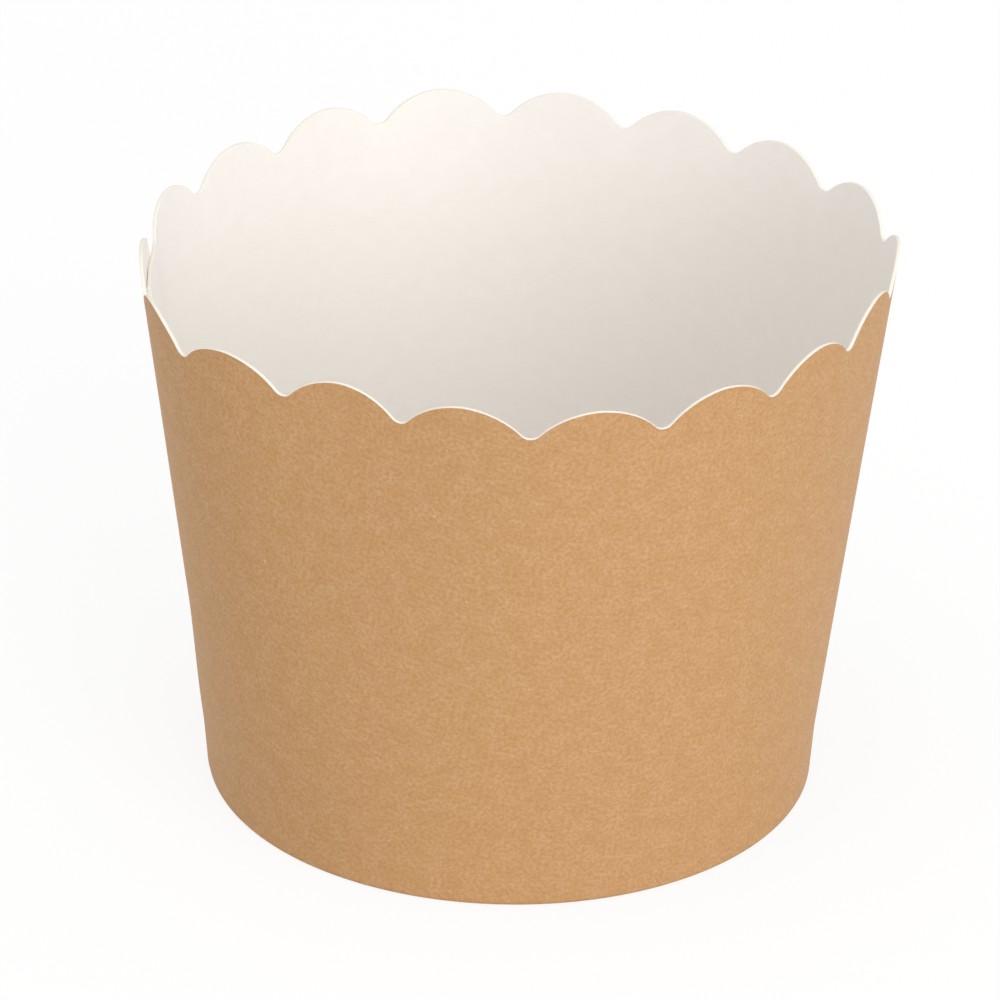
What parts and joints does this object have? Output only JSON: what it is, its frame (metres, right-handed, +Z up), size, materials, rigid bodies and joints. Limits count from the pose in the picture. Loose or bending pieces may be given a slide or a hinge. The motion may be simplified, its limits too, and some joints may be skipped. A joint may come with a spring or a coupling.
{
  "type": "cupcake liner",
  "caption": "Tapered round paperboard baking cup with a scalloped rim, lapped side seam and recessed glued base.",
  "frame": {"origin": "centre of the foot, in the plane that the cup stands on", "axes": "+Z up along the cup's axis to the scalloped rim, -X towards the middle of the side seam"},
  "size_m": [0.0702, 0.0696, 0.054],
  "materials": {
    "kraft_board": "kraft brown outside, coated white inside, matt to satin",
    "white_board": "coated white on top, kraft brown underneath, satin"
  },
  "bodies": {
    "root": {"side_wall": "kraft_board", "base_disc": "white_board"}
  },
  "joints": []
}
